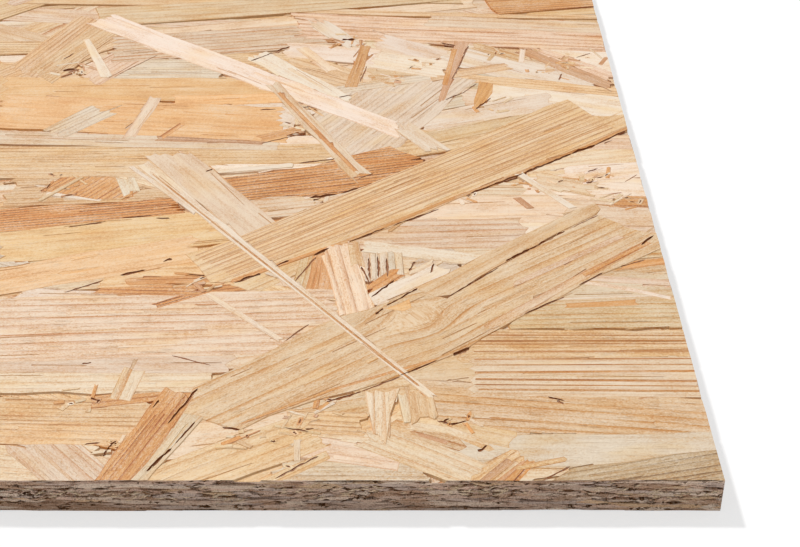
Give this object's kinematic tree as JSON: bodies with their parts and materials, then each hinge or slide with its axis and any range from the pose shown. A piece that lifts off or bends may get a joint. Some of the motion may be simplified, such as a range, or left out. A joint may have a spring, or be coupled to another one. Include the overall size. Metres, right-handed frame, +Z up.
{
  "type": "oriented strand board sheet",
  "caption": "Flat rectangular sheet of oriented strand board: softwood strands pressed with resin, square sawn sides, broken corners.",
  "frame": {"origin": "middle of the underside of the sheet", "axes": "+X along the sheet's length, the way most face strands run; +Y across its width; +Z up through its thickness"},
  "size_m": [2.44, 1.22, 0.009],
  "materials": {
    "strand_board": "pressed softwood strands, unsanded, satin with a little resin gloss; sawn edges brown and rough"
  },
  "bodies": {
    "root": {"strand_board_sheet": "strand_board"}
  },
  "joints": []
}
